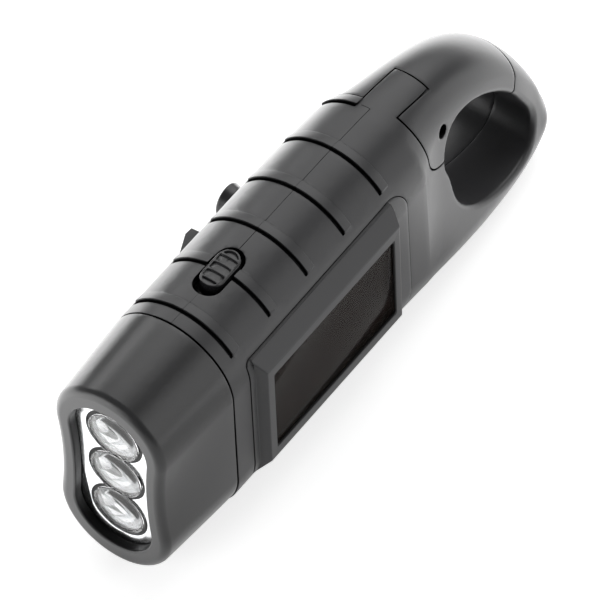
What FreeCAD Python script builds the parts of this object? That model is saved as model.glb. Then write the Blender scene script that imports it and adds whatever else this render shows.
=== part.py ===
"""Hand crank flashlight with a solar panel and a snap loop, built as separate pieces.

Build coordinates, in mm: X runs from the lamp rim (x = 0) to the loop's nose, +Y is the crank side,
-Y is the solar side, and +Z is the narrow edge that carries the switch. On export every piece is
moved so that the origin is the centre of the whole object's bounding box.
"""
import os
import math
import FreeCAD
import Part

Vector = FreeCAD.Vector
AXIS_X = Vector(1, 0, 0)
AXIS_Y = Vector(0, 1, 0)
AXIS_Z = Vector(0, 0, 1)

# Lamp head
HEAD_LENGTH = 22.15
RIM_RADIUS = 13.3
RIM_WAIST = 12.4
RIM_CENTRE = 12.7
RECESS_RADIUS = 9.4
RECESS_WAIST = 8.8
RECESS_CENTRE = 11.8
RIM_THICKNESS = 2.3
LAMP_PITCH = 12.0
LENS_RADIUS = 6.4
LENS_FRONT = 1.7
LED_RADIUS = 2.45
LED_BOARD_X = 14.5

# Body, given as sections: x, top, bottom, top radius, half width near the bottom, bottom corner radius
BODY_START = 22.5
WALL = 1.9
FRONT_SECTIONS = [
    (BODY_START, 27.2, -27.2, 14.8, 14.9, 14.2),
    (72.0, 26.6, -27.2, 14.8, 15.0, 14.0),
]
MIDDLE_SECTIONS = [
    (72.0, 26.6, -27.2, 14.8, 15.0, 14.0),
    (76.0, 26.5, -27.2, 14.75, 15.0, 13.7),
    (80.0, 26.3, -27.2, 14.65, 15.0, 13.3),
    (84.0, 26.1, -27.2, 14.5, 14.95, 12.8),
    (87.0, 25.95, -27.25, 14.35, 14.9, 12.4),
    (89.3, 25.76, -27.3, 14.2, 14.85, 12.0),
]
TAIL_SECTIONS = [
    (89.3, 25.76, -27.3, 14.2, 14.85, 12.0),
    (91.3, 25.58, -27.32, 13.15, 14.7, 11.65),
    (93.3, 25.37, -27.36, 12.25, 14.58, 11.25),
    (96.5, 25.0, -27.45, 11.1, 14.45, 10.6),
    (101.0, 24.3, -27.6, 10.2, 14.2, 9.6),
    (110.0, 21.9, -27.8, 9.3, 13.7, 8.2),
    (118.0, 18.4, -27.8, 8.9, 13.1, 7.3),
    (125.0, 13.4, -27.6, 8.7, 12.4, 6.8),
    (131.0, 6.8, -27.3, 8.6, 11.5, 6.6),
    (135.6, -0.6, -26.6, 8.4, 10.6, 6.5),
    (139.0, -8.0, -25.5, 7.8, 9.3, 6.2),
    (141.4, -14.0, -24.1, 5.2, 6.5, 4.7),
    (142.7, -17.6, -22.1, 2.2, 3.0, 2.2),
    (143.1, -19.4, -20.5, 0.5, 0.7, 0.5),
]
CAVITY_END = 90.5
NECK_START = 15.75
NECK_RADIUS = 12.5
NECK_CENTRE = 12.3

# Grip ribs
RIB_COUNT = 6
RIB_FIRST_X = 26.4
RIB_PITCH = 12.7
RIB_WIDTH = 2.3
RIB_HEIGHT = 0.45
RIB_TAIL = 0.25
GROOVE_WIDTH = 0.7
GROOVE_DEPTH = 0.55
RIB_SIDE_Z = 18.0
RAMP_PROFILE = [(43.4, 12.0), (43.4, 14.3), (48.1, 17.8), (53.7, 20.2), (55.6, 20.0), (56.3, 12.0)]
RAMP_SPAN = (-6.0, 9.0)
RIB_HALF_SPAN = 12.0
SHORT_RIB_START = 3.05

# Solar panel
BEZEL_FACE_Y = -17.1
BEZEL_SIDE_Y = -13.9
BEZEL_END_Y = -14.8
BEZEL_END_RUN = 1.4
BEZEL_PROUD = 0.15
BEZEL_GAP = 0.1
BEZEL_CORNERS = (1.4, 4.9)
BEZEL_BACK_Y = -11.6
BEZEL_FACE = (30.8, 76.1, 14.3)
BEZEL_BASE = (27.9, 82.4, 18.2)
WINDOW = (32.9, 74.2, 11.7)
WINDOW_DEPTH = 0.5
WINDOW_THICKNESS = 1.2
CELL_THICKNESS = 1.0

# Switch
SLOT_X = 38.5
SLOT_LENGTH = 13.6
SLOT_WIDTH = 6.4
BUTTON_LENGTH = 10.3
BUTTON_WIDTH = 5.4
BUTTON_TOP = 27.7
BUTTON_RIM = 0.55
BUTTON_DISH = 0.4
BUTTON_BOTTOM = 23.6
BUTTON_CROWN = 9.0
BUTTON_BARS = 4
BAR_START = -3.65
BAR_PITCH = 2.2
BAR_WIDTH = 0.7
FLANGE_LENGTH = 14.0
FLANGE_WIDTH = 7.8
FLANGE_LOW = 22.7
FLANGE_HIGH = 23.9
LEVER_POCKET = 2.2
SWITCH_TRAVEL = 3.0
SWITCH_REST = 2.0
BOARD_Z = 16.6

# Snap loop
PIN_X = 100.9
PIN_Z = 14.7
PIN_RADIUS = 1.5
HUB_RADIUS = 7.6
GATE_REACH = 30.3
GATE_GAP = 0.35
EAR_HALF = 2.5
EAR_INNER = 1.3
LOOP_RIM_RADIUS = 1.3
LOOP_RIM_END = 135.0
LOOP_RIM_DEPTH = 8.0
TONGUE_START = 90.3
TONGUE_END = 103.2
TONGUE_SIDES = (-5.0, 3.0)
TONGUE_CLEARANCE = 8.15
LOOP_POINTS = [
    (100.5, 3.0), (101.0, 8.6), (104.4, 12.0), (109.5, 12.1), (115.0, 9.9), (121.0, 5.6),
    (127.0, -0.8), (131.4, -8.4), (133.2, -14.4), (130.4, -18.6), (123.5, -19.8),
    (114.5, -17.8), (106.8, -13.4), (102.3, -6.4),
]

# Crank
CRANK_X = 88.0
CRANK_THROW = 16.7
SHAFT_RADIUS = 2.0
SEAT_Y = 15.1
ARM_BOTTOM = 15.5
ARM_TOP = 18.1
HUB_DISC = 8.4
ARM_END_RADIUS = 5.2
KNOB_RADIUS = 3.9
KNOB_TOP = 23.2

# Gear train
MODULE = 0.6
CRANK_TEETH = 32
WHEEL_TEETH = 34
PINION_TEETH = 12
PRESSURE_ANGLE = math.radians(25)
BACKLASH = 0.1
GEAR_BORE = 1.06
GEAR_SHAFT = 1.0
FIRST_X = CRANK_X - MODULE * (CRANK_TEETH + PINION_TEETH) / 2
SECOND_X = FIRST_X - MODULE * (WHEEL_TEETH + PINION_TEETH) / 2
ROTOR_X = SECOND_X - MODULE * (WHEEL_TEETH + PINION_TEETH) / 2
PLATE_TOP = 0.0
PLATE_BOTTOM = -1.6
PLATE_POSTS = [(52.0, 13.4), (52.0, -13.4), (86.0, 13.4), (86.0, -13.4)]
CAN_RADIUS = 10.6
CRANK_GEAR_TOP = 9.9
GEAR_CHAMBER = 10.6

# Fasteners
SCREW_PLACES = [(27.6, 16.5), (27.6, -16.5), (62.0, 14.9), (50.5, -19.6), (94.0, -17.0)]
SCREW_HEAD_RADIUS = 2.3
SCREW_SHANK_RADIUS = 1.1
BOSS_RADIUS = 2.9


def box(low, high):
    """A box between two corners."""
    size = [high[i] - low[i] for i in range(3)]
    return Part.makeBox(size[0], size[1], size[2], Vector(*low))


def rod(radius, x, z, y_low, y_high):
    """A cylinder along Y."""
    return Part.makeCylinder(radius, y_high - y_low, Vector(x, y_low, z), AXIS_Y)


def barrel(radius, x_low, x_high, z=0.0, y=0.0):
    """A cylinder along X."""
    return Part.makeCylinder(radius, x_high - x_low, Vector(x_low, y, z), AXIS_X)


def prism_y(edges, y_low, y_high):
    """A closed outline drawn at y_low in the XZ plane and carried to y_high."""
    face = Part.Face(Part.Wire(edges))
    return face.extrude(Vector(0, y_high - y_low, 0))


def polygon_y(points, y_low, y_high):
    """A prism along Y from corner points (x, z)."""
    corners = [Vector(x, y_low, z) for x, z in points]
    wire = Part.makePolygon(corners + corners[:1])
    return Part.Face(wire).extrude(Vector(0, y_high - y_low, 0))


def polygon_z(points, z_low, z_high):
    """Prism along Z over points given as x and y."""
    corners = [Vector(x, y, z_low) for x, y in points]
    return Part.Face(Part.makePolygon(corners + corners[:1])).extrude(Vector(0, 0, z_high - z_low))


def polygon_x(points, x_low, x_high):
    """Prism along X over points given as z and y."""
    corners = [Vector(x_low, y, z) for z, y in points]
    return Part.Face(Part.makePolygon(corners + corners[:1])).extrude(Vector(x_high - x_low, 0, 0))


def rounded_rectangle(x_low, x_high, half_height, radii, y):
    """Outline at height y with a corner radius for the front pair and one for the rear pair."""
    front, rear = radii
    top = half_height

    def corner(cx, cz, radius, start):
        def at(angle):
            turn = math.radians(angle)
            return Vector(cx + radius * math.cos(turn), y, cz + radius * math.sin(turn))
        return Part.Arc(at(start), at(start + 45), at(start + 90)).toShape()

    arcs = [
        corner(x_high - rear, top - rear, rear, 0),
        corner(x_low + front, top - front, front, 90),
        corner(x_low + front, -top + front, front, 180),
        corner(x_high - rear, -top + rear, rear, 270),
    ]
    edges = []
    for index, arc in enumerate(arcs):
        edges.append(arc)
        following = arcs[(index + 1) % 4]
        edges.append(Part.makeLine(arc.Vertexes[-1].Point, following.Vertexes[0].Point))
    return Part.Wire(edges)


def section(x, top, bottom, top_radius, half_width, corner):
    """A round top, straight leaning sides and a flat bottom with rounded corners."""
    upper = top - top_radius
    lower = bottom + corner
    inset = half_width - corner
    span = math.hypot(inset, upper - lower)
    tilt = math.acos((top_radius - corner) / span) - math.atan2(upper - lower, inset)

    def on_top(angle):
        return Vector(x, top_radius * math.cos(angle), upper + top_radius * math.sin(angle))

    def on_corner(side, angle):
        return Vector(x, side * (inset + corner * math.cos(angle)), lower + corner * math.sin(angle))

    down = -math.pi / 2
    middle = (tilt + down) / 2
    return Part.Wire([
        Part.makeLine(on_corner(1, tilt), on_top(tilt)),
        Part.Arc(on_top(tilt), on_top(-down), on_top(math.pi - tilt)).toShape(),
        Part.makeLine(on_top(math.pi - tilt), on_corner(-1, tilt)),
        Part.Arc(on_corner(-1, tilt), on_corner(-1, middle), on_corner(-1, down)).toShape(),
        Part.makeLine(on_corner(-1, down), on_corner(1, down)),
        Part.Arc(on_corner(1, down), on_corner(1, middle), on_corner(1, tilt)).toShape(),
    ])


def capsule(x, radius, centre):
    """Two half circles joined by straight parallel sides."""
    top_right = Vector(x, radius, centre)
    top_left = Vector(x, -radius, centre)
    low_right = Vector(x, radius, -centre)
    low_left = Vector(x, -radius, -centre)
    return Part.Wire([
        Part.makeLine(low_right, top_right),
        Part.Arc(top_right, Vector(x, 0, centre + radius), top_left).toShape(),
        Part.makeLine(top_left, low_left),
        Part.Arc(low_left, Vector(x, 0, -centre - radius), low_right).toShape(),
    ])


def waisted(x, radius, centre, waist):
    """A capsule whose sides curve in to the waist."""
    side = (centre ** 2 + waist ** 2 - radius ** 2) / (2 * (radius - waist))
    side_centre = side + waist
    reach = math.hypot(side_centre, centre)
    touch_y = radius * side_centre / reach
    touch_z = centre - radius * centre / reach
    top_right = Vector(x, touch_y, touch_z)
    top_left = Vector(x, -touch_y, touch_z)
    low_right = Vector(x, touch_y, -touch_z)
    low_left = Vector(x, -touch_y, -touch_z)
    return Part.Wire([
        Part.Arc(low_right, Vector(x, waist, 0), top_right).toShape(),
        Part.Arc(top_right, Vector(x, 0, centre + radius), top_left).toShape(),
        Part.Arc(top_left, Vector(x, -waist, 0), low_left).toShape(),
        Part.Arc(low_left, Vector(x, 0, -centre - radius), low_right).toShape(),
    ])


def capsule_solid(x_low, x_high, radius, centre):
    """A straight length of capsule."""
    return Part.Face(capsule(x_low, radius, centre)).extrude(Vector(x_high - x_low, 0, 0))


def slot_solid(x, length, width, z_low, z_high):
    """A slot with round ends, long along X and cut along Z."""
    half = (length - width) / 2
    body = box((x - half, -width / 2, z_low), (x + half, width / 2, z_high))
    for end in (x - half, x + half):
        body = body.fuse(Part.makeCylinder(width / 2, z_high - z_low, Vector(end, 0, z_low), AXIS_Z))
    return body.removeSplitter()


def half_space(side):
    """The half of space on one side of the middle plane."""
    if side < 0:
        return box((-10, -60, -60), (200, 0, 60))
    return box((-10, 0, -60), (200, 60, 60))


def head_cap():
    """Lamp housing with a rounded rim, a recess for the lenses and a bore for the body's neck."""
    rear = HEAD_LENGTH
    outline = [waisted(0, RIM_RADIUS, RIM_CENTRE, RIM_WAIST), waisted(8, 13.85, 12.7, 13.3)]
    outline.append(waisted(16, 14.45, 12.5, 14.3))
    outline.append(waisted(rear, 14.85, 12.35, 14.8))
    outer = Part.makeLoft(outline, True, False)
    rim_edges = [edge for edge in outer.Edges if edge.BoundBox.XMax < 0.01]
    outer = outer.makeFillet(2.0, rim_edges)
    recess = Part.Face(waisted(-1, RECESS_RADIUS, RECESS_CENTRE, RECESS_WAIST))
    recess = recess.extrude(Vector(RIM_THICKNESS + 2, 0, 0))
    front_bore = Part.makeLoft([capsule(RIM_THICKNESS, 11.2, 12.0), capsule(14, 12.6, 12.3)], True, True)
    rear_bore = capsule_solid(14, rear + 1, 12.6, 12.3)
    cap = outer.cut(recess).cut(front_bore).cut(rear_bore)
    lip = [e for e in cap.Edges if e.BoundBox.XMax < 0.01 and e.BoundBox.ZMax < 22]
    return cap.makeFillet(0.5, lip)


def lamp_centres():
    """Heights of the three lamps."""
    return [-LAMP_PITCH, 0.0, LAMP_PITCH]


def reflector():
    """Plate with three bowls that taper to the lamps."""
    plate = capsule_solid(RIM_THICKNESS, RIM_THICKNESS + 1.2, 11.0, 11.9)
    seat = LENS_RADIUS + 0.1
    depth = 11.8
    body = plate
    for z in lamp_centres():
        cone = Part.makeCone(seat + 0.9, LED_RADIUS + 0.9, depth - 2.3, Vector(RIM_THICKNESS, 0, z), AXIS_X)
        body = body.fuse(cone)
    for z in lamp_centres():
        body = body.cut(barrel(seat, RIM_THICKNESS - 0.1, RIM_THICKNESS + 1.0, z))
        body = body.cut(bowl(z, RIM_THICKNESS + 1.0, depth))
    return body.removeSplitter()


def bowl(z, start, end):
    """Hollow of one bowl: a curved flare that opens from the lamp to the lens seat."""
    wide = LENS_RADIUS - 0.5
    narrow = LED_RADIUS + 0.12
    middle = Vector(start + 3.6, 0, z + 4.9)
    flare = Part.Arc(Vector(start, 0, z + wide), middle, Vector(end - 2.6, 0, z + narrow)).toShape()
    points = [Vector(end - 2.6, 0, z + narrow), Vector(end + 1, 0, z + narrow), Vector(end + 1, 0, z)]
    points += [Vector(start, 0, z), Vector(start, 0, z + wide)]
    wire = Part.Wire([flare] + Part.makePolygon(points).Edges)
    return Part.Face(wire).revolve(Vector(0, 0, z), AXIS_X, 360)


def lens_strip():
    """Clear moulding: three lenses with a raised rim and a domed centre, joined edge to edge."""
    strip = None
    back = RIM_THICKNESS + 1.0
    for z in lamp_centres():
        disc = barrel(LENS_RADIUS, LENS_FRONT, back, z)
        hollow = barrel(LENS_RADIUS - 0.6, LENS_FRONT - 0.1, LENS_FRONT + 0.7, z)
        ball = Part.makeSphere(9.0, Vector(LENS_FRONT + 9.1, 0, z))
        dome = ball.common(barrel(4.1, LENS_FRONT, back, z))
        lens = disc.cut(hollow).fuse(dome)
        strip = lens if strip is None else strip.fuse(lens)
    return strip.removeSplitter()


def led(z):
    """One lamp: flange, barrel and dome, with its two legs through the board."""
    neck = 8.6
    body = barrel(LED_RADIUS, neck, LED_BOARD_X - 0.4, z)
    body = body.fuse(Part.makeSphere(LED_RADIUS, Vector(neck, 0, z)))
    body = body.fuse(barrel(LED_RADIUS + 0.4, LED_BOARD_X - 1.6, LED_BOARD_X - 0.4, z))
    for side in (-1.27, 1.27):
        body = body.fuse(barrel(0.25, LED_BOARD_X - 0.5, LED_BOARD_X + 2.2, z, side))
    return body.removeSplitter()


def led_board():
    """Board that carries the lamps."""
    board = capsule_solid(LED_BOARD_X, LED_BOARD_X + 1.2, 10.4, 12.0)
    for z in lamp_centres():
        for side in (-1.27, 1.27):
            board = board.cut(barrel(0.25, LED_BOARD_X - 1, LED_BOARD_X + 2, z, side))
    return board


def loft_sections(rows, shrink, ruled):
    """Solid through sections drawn inwards by shrink."""
    wires = []
    for x, top, bottom, *sizes in rows:
        wires.append(section(x, top - shrink, bottom + shrink, *[size - shrink for size in sizes]))
    return Part.makeLoft(wires, True, ruled)


def body_form(shrink=0.0):
    """Outer form of body and loop, or the same form drawn inwards."""
    front = loft_sections(FRONT_SECTIONS, shrink, True)
    middle = loft_sections(MIDDLE_SECTIONS, shrink, False)
    rows = TAIL_SECTIONS if shrink == 0 else TAIL_SECTIONS[:-4]
    return front.fuse([middle, loft_sections(rows, shrink, False)])


def station(x):
    """Section values at any x, read between the neighbouring sections."""
    rows = FRONT_SECTIONS + MIDDLE_SECTIONS[1:] + TAIL_SECTIONS[1:]
    for low, high in zip(rows, rows[1:]):
        if low[0] <= x <= high[0]:
            share = (x - low[0]) / (high[0] - low[0])
            return [a + (b - a) * share for a, b in zip(low, high)]
    return list(rows[-1])


def band(start, start_height, end, end_height):
    """Solid ring of the body between two places, grown by a height at each."""
    wires = []
    for place, height in ((start, start_height), (end, end_height)):
        _, top, bottom, *sizes = station(place)
        wires.append(section(place, top + height, bottom - height, *[size + height for size in sizes]))
    return Part.makeLoft(wires, True, True)


def rib_windows():
    """Where each rib starts, and the room around it in which it is kept and left out.

    The last rib is short: it lies on the crank side of the top edge.
    """
    found = []
    for index in range(RIB_COUNT):
        x = RIB_FIRST_X + index * RIB_PITCH
        last = index == RIB_COUNT - 1
        left = SHORT_RIB_START if last else -RIB_HALF_SPAN
        bottom = 0 if last else -40
        window = box((x - 2, left, bottom), (x + RIB_WIDTH + 1, RIB_HALF_SPAN, 40))
        middle = box((x - 3, -40, -RIB_SIDE_Z), (x + RIB_WIDTH + 2, 40, RIB_SIDE_Z))
        found.append((x, window, middle))
    return found


def ribs():
    """Ledges across the top and bottom edges, high at the front and low at the rear."""
    found = []
    for x, window, middle in rib_windows():
        ledge = band(x, RIB_HEIGHT, x + RIB_WIDTH, RIB_TAIL)
        found.append(ledge.common(window).cut(middle))
    return found


def rib_grooves():
    """Narrow groove in front of each rib."""
    found = []
    for x, window, middle in rib_windows():
        start = x - GROOVE_WIDTH
        ring = band(start, 1.0, x, 1.0).cut(band(start - 0.1, -GROOVE_DEPTH, x + 0.1, -GROOVE_DEPTH))
        found.append(ring.common(window).cut(middle))
    return found


def loop_hole():
    """The opening of the snap loop, through the whole width."""
    curve = Part.BSplineCurve()
    curve.interpolate([Vector(x, -40, z) for x, z in LOOP_POINTS], PeriodicFlag=True)
    return prism_y([curve.toShape()], -40, 40)


def gate_zone(gap):
    """The room of the gate: its reach about the pin, its hub and its upright front edge."""
    fan = [(PIN_X - HUB_RADIUS - 1.6, 34.0), (PIN_X - HUB_RADIUS, PIN_Z), (PIN_X, PIN_Z)]
    fan += [(PIN_X + 3.2, PIN_Z - 9.0), (128.0, -8.0), (140.0, -8.0), (140.0, 34.0)]
    if gap > 0:
        fan[0] = (fan[0][0] - gap, fan[0][1])
        fan[1] = (fan[1][0] - gap, fan[1][1])
    arm = polygon_y(fan, -30, 30).common(rod(GATE_REACH + gap, PIN_X, PIN_Z, -30, 30))
    return arm.fuse(rod(HUB_RADIUS + gap, PIN_X, PIN_Z, -30, 30))


def loop_form():
    """Outer form with the loop's opening, whose two rims are rounded."""
    form = body_form().cut(loop_hole())
    high = max(z for _, z in LOOP_POINTS) + 2
    low = min(z for _, z in LOOP_POINTS) - 2
    start = min(x for x, _ in LOOP_POINTS) - 2
    rims = []
    for edge in form.Edges:
        limits = edge.BoundBox
        around = limits.XMin > start and limits.ZMax < high and limits.ZMin > low
        runs_around = limits.XLength + limits.ZLength > 0.1 and limits.YLength < LOOP_RIM_DEPTH
        if around and runs_around and limits.XMax < LOOP_RIM_END:
            rims.append(edge)
    return form.makeFillet(LOOP_RIM_RADIUS, rims)


def gate(form):
    """Snap gate: the upper bow of the loop, with a slot that straddles the body's ears and tongue."""
    bow = form.common(gate_zone(0.0))
    slot = EAR_HALF + 0.3
    bow = bow.cut(rod(6.1, PIN_X, PIN_Z, -slot, slot))
    bow = bow.cut(box((PIN_X - 14, -slot, PIN_Z - 12), (PIN_X, slot, PIN_Z + 5.6)))
    left, right = TONGUE_SIDES
    room = box((80, left - 0.3, PIN_Z - 2), (TONGUE_END + 0.3, right + 0.3, 40))
    bow = bow.cut(room.cut(rod(TONGUE_CLEARANCE - 0.35, PIN_X, PIN_Z, -30, 30)))
    bow = bow.cut(rod(PIN_RADIUS + 0.06, PIN_X, PIN_Z, -30, 30))
    return largest(bow)


def tongue():
    """Cover over the hinge: the solar side's shell reaches over the middle plane here."""
    left, right = TONGUE_SIDES
    cover = box((CAVITY_END - 1, left, 20), (TONGUE_END, 0, 40))
    cover = cover.fuse(box((TONGUE_START, -1, 20), (TONGUE_END, right, 40)))
    return body_form().common(cover).cut(rod(TONGUE_CLEARANCE, PIN_X, PIN_Z, -30, 30))


def largest(shape):
    """The biggest solid of a cut shape."""
    return max(shape.Solids, key=lambda solid: solid.Volume)


def ear(side):
    """One ear that carries the gate pin, with its neck to the body wall."""
    low, high = sorted((side * EAR_INNER, side * EAR_HALF))
    plate = rod(5.0, PIN_X, PIN_Z, low, high)
    plate = plate.fuse(box((CAVITY_END - 1, low, PIN_Z - 4.6), (PIN_X, high, PIN_Z + 4.6)))
    return plate.cut(rod(PIN_RADIUS, PIN_X, PIN_Z, low - 1, high + 1))


def gate_pin():
    """Pivot pin of the gate, a little below the surface at both ends."""
    return rod(PIN_RADIUS, PIN_X, PIN_Z, -7.4, 7.4)


def gate_spring():
    """Torsion spring on the pin: its coil as a sleeve, with a leg on the body's side."""
    coil = rod(2.5, PIN_X, PIN_Z, -1.1, 1.1).cut(rod(1.7, PIN_X, PIN_Z, -2, 2))
    leg = box((PIN_X - 7.4, 0.3, PIN_Z - 2.4), (PIN_X, 1.0, PIN_Z - 1.75))
    return coil.fuse(leg).removeSplitter()


def cavity():
    """Hollow of the body."""
    hollow = body_form(WALL).common(box((BODY_START + 1.2, -40, -40), (CAVITY_END, 40, 40)))
    entry = capsule_solid(NECK_START - 1, BODY_START + 2, NECK_RADIUS - 1.5, NECK_CENTRE)
    chamber = rod(GEAR_CHAMBER, CRANK_X, 0, PLATE_BOTTOM - 1.3, CRANK_GEAR_TOP + 0.4)
    return hollow.fuse([entry, chamber])


def shell_form(loop):
    """Body, neck and loop in one, before it is parted along the middle plane."""
    neck = capsule_solid(NECK_START, BODY_START + 1, NECK_RADIUS, NECK_CENTRE)
    form = loop.fuse(ribs() + [neck])
    form = form.cut(rib_grooves())
    form = form.cut(cavity())
    form = form.cut(gate_zone(GATE_GAP))
    return form.cut(slot_solid(SLOT_X, SLOT_LENGTH, SLOT_WIDTH, 20, 32))


def bosses(low, high, bore, inside):
    """Screw bosses between two heights, kept inside the outer form."""
    posts = []
    for x, z in SCREW_PLACES:
        post = rod(BOSS_RADIUS, x, z, low, high).common(inside)
        posts.append(post.cut(rod(bore, x, z, low - 1, high + 1)))
    return posts


def shelf(side):
    """Ledge that carries the main board."""
    low, high = sorted((side * 9.4, side * 13.2))
    return box((33.0, low, BOARD_Z - 1.4), (49.0, high, BOARD_Z))


def panel_shell(form):
    """Solar side of the body: window for the bezel, blind screw bosses, one ear."""
    outer = body_form()
    extras = bosses(-30, 0, SCREW_SHANK_RADIUS - 0.1, outer)
    extras += [ear(-1), shelf(-1), tongue()]
    shell = form.common(half_space(-1)).fuse(extras)
    x_low, x_high, half = BEZEL_BASE
    seat = rounded_rectangle(x_low, x_high, half, (1.5, 5.0), -30)
    pocket = Part.Face(seat).extrude(Vector(0, 30 + BEZEL_BACK_Y, 0))
    through = box((34.0, -20, -11.5), (73.5, -9, 11.5))
    holes = [rod(SCREW_SHANK_RADIUS - 0.1, x, z, -6.2, 1) for x, z in SCREW_PLACES]
    return largest(shell.cut([pocket, through] + holes))


def crank_seat():
    """Round seat of the crank on the body, with a chamfered edge."""
    seat = rod(9.4, CRANK_X, 0, 10.9, SEAT_Y)
    rim = [edge for edge in seat.Edges if edge.BoundBox.YMin > SEAT_Y - 0.01]
    return seat.makeChamfer(0.6, rim)


def crank_shell(form):
    """Crank side of the body: seat of the crank, gear shaft sockets, screw holes, one ear."""
    outer = body_form()
    extras = bosses(0, 30, SCREW_SHANK_RADIUS + 0.15, outer)
    extras += [crank_seat(), thumb_rest(), ear(1), shelf(1)]
    extras += [rod(2.6, x, 0, 10.8, 13.6) for x in (FIRST_X, SECOND_X)]
    extras += [rod(2.2, x, z, PLATE_TOP, 30).common(outer) for x, z in PLATE_POSTS]
    shell = form.common(half_space(1)).fuse(extras)
    holes = [rod(3.5, CRANK_X, 0, 5, 20), box((TONGUE_START, -1, 20), (TONGUE_END + 5, TONGUE_SIDES[1], 40))]
    for x, z in SCREW_PLACES:
        holes.append(rod(SCREW_SHANK_RADIUS + 0.15, x, z, -1, 30))
        holes.append(rod(SCREW_HEAD_RADIUS + 0.2, x, z, screw_seat(z), 30))
    holes += [rod(0.8, x, z, PLATE_TOP - 1, PLATE_TOP + 6) for x, z in PLATE_POSTS]
    holes += [rod(GEAR_SHAFT, x, 0, 9, 12.6) for x in (FIRST_X, SECOND_X)]
    return largest(shell.cut(holes))


def screw_seat(z):
    """Depth of a screw head's seat: lower on the rounded edges than on the flat."""
    return 5.0 if abs(z) > 16 else 7.0


def thumb_rest():
    """Long ramp on the crank side with a steep end that faces the crank."""
    return polygon_z(RAMP_PROFILE, *RAMP_SPAN)


def bezel_block():
    """Panel frame before it is hollowed: a flush flange and a raised block with steep ends."""
    x_low, x_high, half = BEZEL_BASE
    left = x_low + BEZEL_GAP
    right = x_high - BEZEL_GAP
    outline = rounded_rectangle(left, right, half - BEZEL_GAP, BEZEL_CORNERS, BEZEL_BACK_Y)
    block = Part.Face(outline).extrude(Vector(0, BEZEL_FACE_Y - BEZEL_BACK_Y, 0))
    start, end, half_face = BEZEL_FACE
    low, high = start - BEZEL_END_RUN, end + BEZEL_END_RUN
    ends = [(low, BEZEL_BACK_Y), (low, BEZEL_END_Y), (start, BEZEL_FACE_Y)]
    ends += [(end, BEZEL_FACE_Y), (high, BEZEL_END_Y), (high, BEZEL_BACK_Y)]
    slope = [(half, BEZEL_BACK_Y), (half, BEZEL_SIDE_Y), (half_face, BEZEL_FACE_Y)]
    slope += [(-z, y) for z, y in reversed(slope)]
    raised = polygon_z(ends, -half, half).common(polygon_x(slope, x_low, x_high))
    return block.common(raised.fuse(body_form(-BEZEL_PROUD)))


def solar_bezel():
    """Frame around the solar panel: flush flange, raised face and a ledge for the window."""
    inside = body_form(0.02)
    frame = bezel_block().cut(inside.common(box((20, -12.6, -40), (90, 0, 40))))
    low, high, half_window = WINDOW
    opening = box((low, -30, -half_window), (high, 0, half_window))
    room = box((low - 1.2, -30, -half_window - 1.2), (high + 1.2, 0, half_window + 1.2))
    room.translate(Vector(0, 30 + BEZEL_FACE_Y + WINDOW_DEPTH + WINDOW_THICKNESS, 0))
    window_seat = box((low - 0.8, BEZEL_FACE_Y + WINDOW_DEPTH, -half_window - 0.8),
                      (high + 0.8, -5, half_window + 0.8))
    return largest(frame.cut(opening).cut(room).cut(window_seat))


def solar_window():
    """Dark clear cover of the solar cell."""
    low, high, half = WINDOW
    front = BEZEL_FACE_Y + WINDOW_DEPTH
    return box((low - 0.8, front, -half - 0.8), (high + 0.8, front + WINDOW_THICKNESS, half + 0.8))


def solar_cell():
    """Solar cell behind the window."""
    low, high, half = WINDOW
    front = BEZEL_FACE_Y + WINDOW_DEPTH + WINDOW_THICKNESS
    return box((low, front, -half), (high, front + CELL_THICKNESS, half))


def button_x():
    """Middle of the switch button at rest, one step short of the rear end of its slot."""
    return SLOT_X - SWITCH_TRAVEL / 2 + SWITCH_REST


def switch_button():
    """Oval slider: a dished pad with a rim and four grip bars, and a flange under the slot."""
    x = button_x()
    axis_z = BUTTON_TOP - BUTTON_CROWN
    rear = x - BUTTON_LENGTH / 2
    crown = Part.makeCylinder(BUTTON_CROWN, BUTTON_LENGTH, Vector(rear, 0, axis_z), AXIS_X)
    pad = slot_solid(x, BUTTON_LENGTH, BUTTON_WIDTH, BUTTON_BOTTOM, BUTTON_TOP)
    inner_length = BUTTON_LENGTH - 2 * BUTTON_RIM
    inner_width = BUTTON_WIDTH - 2 * BUTTON_RIM
    dish_low = BUTTON_TOP - 3
    dish = slot_solid(x, inner_length, inner_width, dish_low, BUTTON_TOP)
    floor = Part.makeCylinder(BUTTON_CROWN - BUTTON_DISH, BUTTON_LENGTH, Vector(rear, 0, axis_z), AXIS_X)
    bars = []
    for index in range(BUTTON_BARS):
        left = x + BAR_START + index * BAR_PITCH
        bars.append(box((left, -BUTTON_WIDTH, dish_low), (left + BAR_WIDTH, BUTTON_WIDTH, BUTTON_TOP + 1)))
    dish = dish.cut([floor] + bars)
    half_length = FLANGE_LENGTH / 2
    half_width = FLANGE_WIDTH / 2
    flange = box((x - half_length, -half_width, FLANGE_LOW), (x + half_length, half_width, FLANGE_HIGH))
    half = LEVER_POCKET / 2
    pocket = box((x - half, -half, FLANGE_LOW - 1), (x + half, half, FLANGE_HIGH - 0.1))
    return pad.common(crown).cut(dish).fuse(flange).cut(pocket).removeSplitter()


def switch_lever():
    """Lever of the slide switch, carried along by the button."""
    x = button_x()
    return box((x - 1.0, -1.0, BOARD_Z + 4.9), (x + 1.0, 1.0, 23.7))


def switch_housing():
    """Slide switch on the main board."""
    can = box((SLOT_X - 6.4, -2.9, BOARD_Z + 1.2), (SLOT_X + 6.4, 2.9, BOARD_Z + 5.2))
    gap = SWITCH_TRAVEL + 2.4
    track = box((SLOT_X - gap / 2 - 0.1, -1.2, BOARD_Z + 4.6), (SLOT_X + gap / 2 + 0.1, 1.2, BOARD_Z + 6))
    return can.cut(track)


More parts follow.
